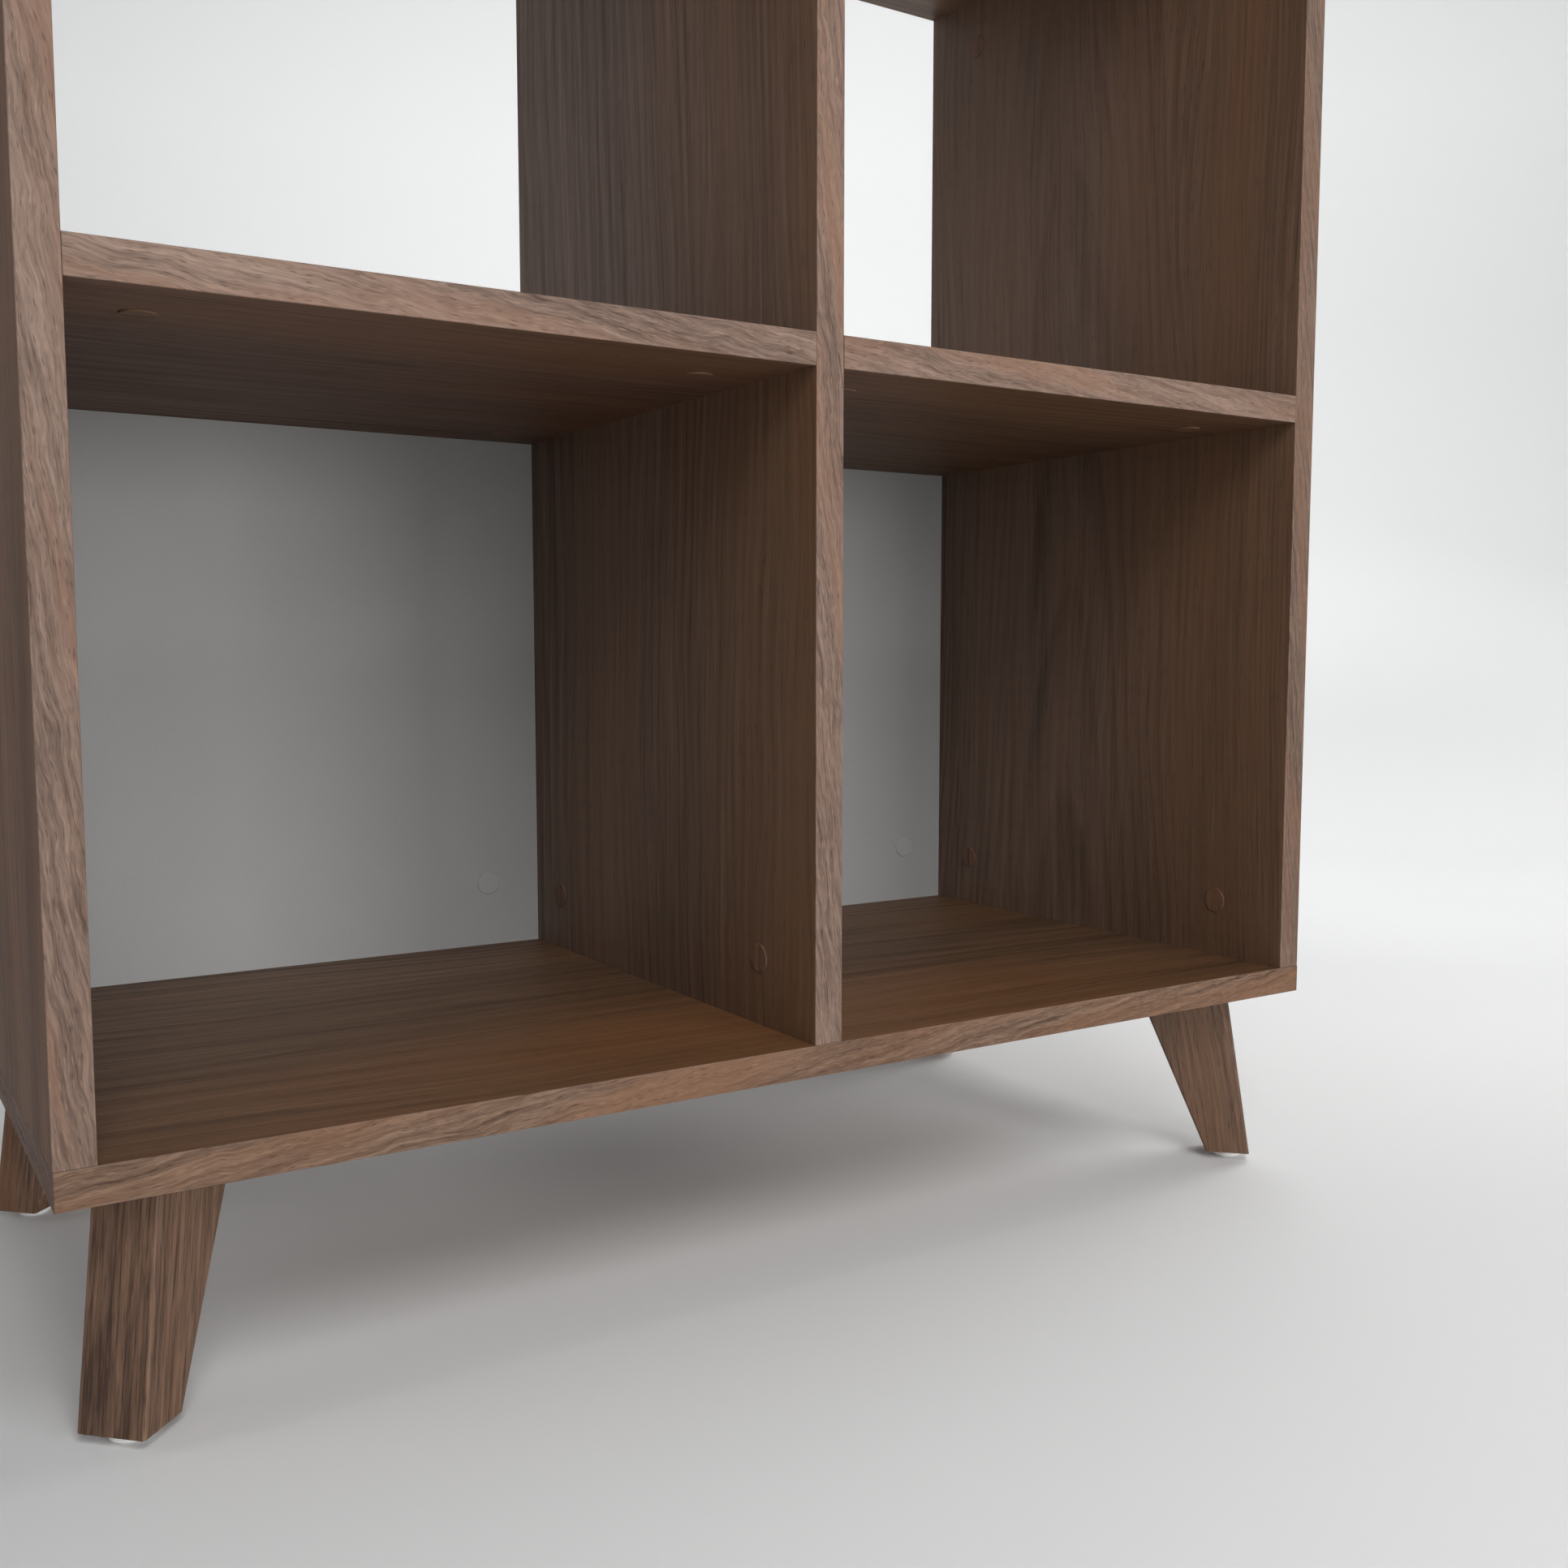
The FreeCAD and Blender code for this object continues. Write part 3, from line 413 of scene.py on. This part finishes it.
bandEdge = {
    "jointWidth": 0.0007,       # dark line where a band meets the next board: painted shade of the hairline gap
    "jointDepth": 0.55,
    "wearAndHighlightWidth": 0.0011,        # paler line along the rounded long edges: partly wear, partly a painted highlight
    "wearAndHighlightDepth": 0.22,
    "wearAndHighlightPatch": (0.03, 0.01),  # stretches of more and less wear and painted highlight, metres
    "leastWearAndHighlight": 0.2,
    "endTint": (0.74, 0.58, 0.48),  # the strips on the short sides are nearer to the panels' tone
}


def nearEnd(tree, distance, half, width):
    # 1 at the end of a span from -half to half, falling to 0 a width inside it.
    inside = calc(tree, "SUBTRACT", half, calc(tree, "ABSOLUTE", distance))
    return remap(tree, inside, 0.0, width, 1.0, 0.0)


def bandColour(tree, colour, grain, halfLong, halfWide, seed):
    along, across, through = apart(tree, grain)
    # A paler line along the long edges: partly wear, partly a painted highlight.
    wearAndHighlight = nearEnd(tree, across, halfWide, bandEdge["wearAndHighlightWidth"])
    patches = noise(tree, stretched(tree, grain, bandEdge["wearAndHighlightPatch"], seed), 1.0, detail=3.0)
    wearAndHighlight = calc(tree, "MULTIPLY", wearAndHighlight, remap(tree, patches, 0.35, 0.70, bandEdge["leastWearAndHighlight"], 1.0))
    wearAndHighlight = calc(tree, "MULTIPLY", wearAndHighlight, bandEdge["wearAndHighlightDepth"])
    colour = blendColour(tree, wearAndHighlight, colour, bandWalnut["wearAndHighlight"])
    # Painted shade: a dark line at the band's ends, where it meets the next board.
    joint = nearEnd(tree, along, halfLong, bandEdge["jointWidth"])
    joint = calc(tree, "MULTIPLY", joint, bandEdge["jointDepth"])
    return blendColour(tree, joint, colour, bandWalnut["pore"])


def finishStripBands():
    for name, figure in stripBands.items():
        low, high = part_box(name)
        size = high - low
        material, tree, shader = startMaterial("band_" + name)
        grain = grainSpace(tree, middle(name), figure["axes"])
        colour = woodFinish(dict(bandWalnut, **figure), grain, tree, shader)
        halfLong, halfWide = (size[axis] / 2 for axis in figure["axes"][:2])
        colour = bandColour(tree, colour, grain, halfLong, halfWide, figure["seed"])
        feed(tree, shader.inputs["Base Color"], colour)
        finish([name], material)


def finishFrameBands():
    # Four strips round a board: grain along X at the front and rear, along Y on the two short sides.
    for name, figure in frameBands.items():
        low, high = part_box(name)
        size = (high - low) / 2
        core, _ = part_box(name.replace("_edge_bands", ""))
        material, tree, shader = startMaterial("band_" + name)
        point = grainSpace(tree, middle(name), (0, 1, 2))
        x, y, z = apart(tree, point)
        onSide = calc(tree, "GREATER_THAN", calc(tree, "ABSOLUTE", x), -core.x)
        onSide = calc(tree, "MULTIPLY", onSide, calc(tree, "LESS_THAN", calc(tree, "ABSOLUTE", y), -core.y))
        grain = eitherPoint(tree, onSide, together(tree, x, z, y), together(tree, y, z, x))
        colour = woodFinish(dict(bandWalnut, **figure), grain, tree, shader)
        halfLong = calc(tree, "MULTIPLY_ADD", onSide, -core.y - size.x, size.x)
        colour = bandColour(tree, colour, grain, halfLong, size.z, figure["seed"])
        endTone = blendColour(tree, onSide, (1, 1, 1), bandEdge["endTint"])
        colour = blendColour(tree, 1.0, colour, endTone, kind="MULTIPLY")
        feed(tree, shader.inputs["Base Color"], colour)
        finish([name], material)


legGrain = {
    # degrees; the diagonal that each leg stands on
    "turns": {"front_left": 45, "front_right": 135, "rear_right": 225, "rear_left": 315},
    "lean": -8.65,          # degrees; lays the grain along the outer edge of the leg
    # Per-leg tints: partly the legs' own darker tone and partly painted shade, strongest on the front right
    # leg.
    "tints": ((0.84, 0.85, 0.88), (0.72, 0.75, 0.80), (0.84, 0.84, 0.84), (1.00, 1.00, 1.00)),
}


def finishLegs():
    for step, (corner, turn) in enumerate(legGrain["turns"].items()):
        name = corner + "_leg"
        material, tree, shader = startMaterial("walnut_" + name)
        grain = grainSpace(tree, middle(name), (2, 0, 1), [(0, 0, -turn), (0, legGrain["lean"], 0)])
        look = dict(legWalnut, seed=21.7 + 1.9 * step, tint=legGrain["tints"][step])
        feed(tree, shader.inputs["Base Color"], woodFinish(look, grain, tree, shader))
        finish([name], material)


greyPaint = {
    "colour": (0.318, 0.318, 0.312),
    "shift": 0.05,              # how far the tone drifts
    "driftSize": 0.16,
    "rollerSize": 0.0011,       # orange-peel of the lacquer
    "reliefDepth": 0.00002,
    "roughness": 0.62,
}


mottle = {"fineTone": (0.97, 1.03), "roughSpread": 0.05}
greyCap = {"colour": (0.335, 0.335, 0.330), "grain": 0.0006, "relief": 0.00001, "rough": 0.5}
shelfBand = 0.004               # caps this near the shelf's underside have its grain


def mottled(name, look, colour, grainSize, reliefDepth, roughness, metallic=0.0):
    # A plain finish with a drifting tone and a fine even relief.
    material, tree, shader = startMaterial(name)
    drift = noise(tree, here(tree), 1 / look["driftSize"], detail=3.0)
    tone = remap(tree, drift, *noiseSpan, 1 - look["shift"], 1 + look["shift"], kind="LINEAR")
    grain = noise(tree, here(tree), 1 / grainSize, detail=2.0)
    tone = calc(tree, "MULTIPLY", tone, remap(tree, grain, 0.25, 0.75, *mottle["fineTone"], kind="LINEAR"))
    shade = blendColour(tree, 1.0, colour, together(tree, tone, tone, tone), kind="MULTIPLY")
    feed(tree, shader.inputs["Base Color"], shade)
    low, high = roughness - mottle["roughSpread"], roughness + mottle["roughSpread"]
    feed(tree, shader.inputs["Roughness"], remap(tree, grain, 0.2, 0.8, low, high))
    shader.inputs["Metallic"].default_value = metallic
    relief(tree, shader, grain, reliefDepth)
    return material


def finishPaint():
    paint = mottled("greyLacquer", greyPaint, greyPaint["colour"], greyPaint["rollerSize"],
                    greyPaint["reliefDepth"], greyPaint["roughness"])
    finish(["left_back_panel", "right_back_panel"], paint)
    cap = mottled("greyCap", greyPaint, greyCap["colour"], greyCap["grain"], greyCap["relief"],
                  greyCap["rough"])
    finish(["grey_cam_caps"], cap)


def finishWoodCaps():
    # Thin discs with the boards' own figure: upright grain, or along X on the shelves' undersides.
    material, tree, shader = startMaterial("walnutCap")
    x, y, z = apart(tree, here(tree))
    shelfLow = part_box("left_shelf")[0].z
    gap = calc(tree, "ABSOLUTE", calc(tree, "SUBTRACT", z, shelfLow))
    underShelf = calc(tree, "LESS_THAN", gap, shelfBand)
    grain = eitherPoint(tree, underShelf, together(tree, z, y, x), together(tree, x, y, z))
    feed(tree, shader.inputs["Base Color"], woodFinish(capWalnut, grain, tree, shader))
    finish(["wood_cam_caps"], material)


fittings = {
    "glide": {"colour": (0.80, 0.79, 0.77), "grain": 0.0008, "relief": 0.00001, "rough": 0.38,
              "metal": 0.0},
    "mounting_plate": {"colour": (0.56, 0.57, 0.58), "grain": 0.0012, "relief": 0.00001, "rough": 0.36,
                       "metal": 1.0},
    "screws": {"colour": (0.62, 0.60, 0.52), "grain": 0.0005, "relief": 0.000005, "rough": 0.32,
               "metal": 1.0},
    "bolts": {"colour": (0.58, 0.57, 0.55), "grain": 0.0006, "relief": 0.000005, "rough": 0.34,
              "metal": 1.0},
    "nails": {"colour": (0.55, 0.55, 0.55), "grain": 0.0005, "relief": 0.000005, "rough": 0.34,
              "metal": 1.0},
    "cam_discs": {"colour": (0.44, 0.44, 0.45), "grain": 0.0009, "relief": 0.00002, "rough": 0.48,
                  "metal": 1.0},
}
fittingDrift = {"driftSize": 0.012, "shift": 0.08}


def finishFittings():
    for word, look in fittings.items():
        material = mottled("fitting_" + word, fittingDrift, look["colour"], look["grain"], look["relief"],
                           look["rough"], look["metal"])
        finish([name for name in nodes if word in name], material)


def finishDowels():
    material, tree, shader = startMaterial("beech")
    grain = grainSpace(tree, (0, 0, 0), (2, 0, 1))
    feed(tree, shader.inputs["Base Color"], woodFinish(beech, grain, tree, shader))
    finish([name for name in nodes if "dowels" in name], material)


finishBoards()
finishStripBands()
finishFrameBands()
finishLegs()
finishPaint()
finishWoodCaps()
finishFittings()
finishDowels()
print("finishes made:", len(bpy.data.materials))


studio = {
    "flatRadius": 2.3,      # level floor round the object
    "curveRadius": 2.0,     # sweep from the floor up to the wall
    "wallHeight": 2.2,
    "rings": 48,
    "spokes": 128,
    "hub": 0.05,            # radius of the fan of triangles in the middle
    "flatRings": 6,
    "colour": (0.797, 0.800, 0.802),
    "patches": (            # round, soft patches of painted shade and light on the floor: middle, full and no effect in metres, tone
        ((0.70, -2.55, 0.0), (0.30, 1.40), 0.20),   # painted shade under the front lamps, behind the camera
        ((0.00, 0.06, 0.0), (0.00, 0.16), 0.74),    # painted shadow under the unit
        ((0.95, 0.05, 0.0), (0.10, 0.75), 1.16),    # painted light right of the unit
        ((2.30, 1.15, 0.0), (0.50, 1.30), 0.84),    # painted shade at the foot of the wall, under the backdrop lamp
    ),
}


def makeStudio():
    # A dish: level to flatRadius, then a quarter circle, then a wall; turned once round Z.
    turn = np.linspace(0, 2 * np.pi, studio["spokes"], endpoint=False)
    bend = np.linspace(0, np.pi / 2, studio["rings"])
    flat = np.linspace(studio["hub"], studio["flatRadius"], studio["flatRings"])[:-1]
    curve = studio["curveRadius"]
    radius = np.concatenate([flat, studio["flatRadius"] + curve * np.sin(bend),
                             [studio["flatRadius"] + curve]])
    height = np.concatenate([0 * flat, curve * (1 - np.cos(bend)), [curve + studio["wallHeight"]]])
    x = np.outer(radius, np.cos(turn))
    y = np.outer(radius, np.sin(turn))
    z = np.outer(height, np.ones_like(turn))
    points = np.stack([x, y, z], axis=-1).reshape(-1, 3)
    points = np.vstack([points, [[0, 0, 0]]])
    rows, columns = len(radius), len(turn)
    i, j = np.meshgrid(np.arange(rows - 1), np.arange(columns), indexing="ij")
    k = (j + 1) % columns
    quads = np.stack([i * columns + j, (i + 1) * columns + j, (i + 1) * columns + k,
                      i * columns + k], axis=-1).reshape(-1, 4)
    hub = np.stack([np.full(columns, rows * columns), np.arange(columns),
                    (np.arange(columns) + 1) % columns], axis=-1)
    mesh = bpy.data.meshes.new("studioFloor")
    mesh.from_pydata(points.tolist(), [], quads.tolist() + hub.tolist())
    mesh.polygons.foreach_set("use_smooth", np.ones(len(mesh.polygons), bool))
    mesh.update()
    floor = bpy.data.objects.new("studioFloor", mesh)
    bpy.context.scene.collection.objects.link(floor)
    material, tree, shader = startMaterial("studioPaper")
    tone = 1.0
    # Painted shade and light: the patches darken the floor in three places and lighten it in one.
    for spot, reach, paintedTone in studio["patches"]:
        tone = calc(tree, "MULTIPLY", tone, remap(tree, farFrom(tree, spot), *reach, paintedTone, 1.0))
    colour = blendColour(tree, 1.0, studio["colour"], together(tree, tone, tone, tone), kind="MULTIPLY")
    feed(tree, shader.inputs["Base Color"], colour)
    shader.inputs["Roughness"].default_value = 0.9
    shader.inputs["Specular IOR Level"].default_value = 0.1
    mesh.materials.append(material)
    return floor


makeStudio()


lamps = {
    "lowFront": {"at": (-0.2, -3.0, 0.8), "towards": (0, 0, 0.4), "size": 1.4, "power": 24.9},
    "lowFrontRight": {"at": (1.0, -2.8, 0.45), "towards": (0, 0, 0.4), "size": 0.9, "power": 33.1},
    "nearTopLeft": {"at": (-0.5, -1.7, 1.7), "towards": (0, 0, 0.5), "size": 0.9, "power": 18.5},
    "right": {"at": (3.0, 0.0, 1.6), "towards": (0, 0, 0.4), "size": 1.6, "power": 24.1},
    "highRight": {"at": (1.6, 0.3, 2.8), "towards": (0, 0, 0.2), "size": 1.4, "power": 24.9},
    "backdrop": {"at": (0.9, 1.3, 2.2), "towards": (2.9, 3.5, 1.2), "size": 2.0, "power": 55},
    "left": {"at": (-2.6, 0.5, 1.3), "towards": (-0.5, -0.3, 0.1), "size": 1.2, "power": 4},
}
airLight = 0.0      # the lamps give all the light


def addLamp(name, at, towards, size, power):
    data = bpy.data.lights.new(name, "AREA")
    data.shape = "SQUARE"
    data.size = size
    data.energy = power
    lamp = bpy.data.objects.new(name, data)
    lamp.location = at
    aim = Vector(towards) - Vector(at)
    lamp.rotation_euler = aim.to_track_quat("-Z", "Y").to_euler()
    bpy.context.scene.collection.objects.link(lamp)
    return lamp


for name, lamp in lamps.items():
    addLamp(name, **lamp)

world = bpy.data.worlds.new("studioAir")
world.use_nodes = True
world.node_tree.nodes["Background"].inputs["Strength"].default_value = airLight
bpy.context.scene.world = world

camera = {
    "at": (-0.4831, -0.9047, 0.3612),
    "turn": (84.991, 0.0, -32.734),   # degrees
    "lens": 35.35,
    "sensor": 36.0,
}


def addCamera():
    data = bpy.data.cameras.new("camera")
    data.lens = camera["lens"]
    data.sensor_width = camera["sensor"]
    view = bpy.data.objects.new("camera", data)
    view.location = camera["at"]
    view.rotation_euler = [math.radians(angle) for angle in camera["turn"]]
    bpy.context.scene.collection.objects.link(view)
    bpy.context.scene.camera = view


addCamera()
bpy.context.scene.view_settings.view_transform = "Standard"
print("studio, lights and camera made")
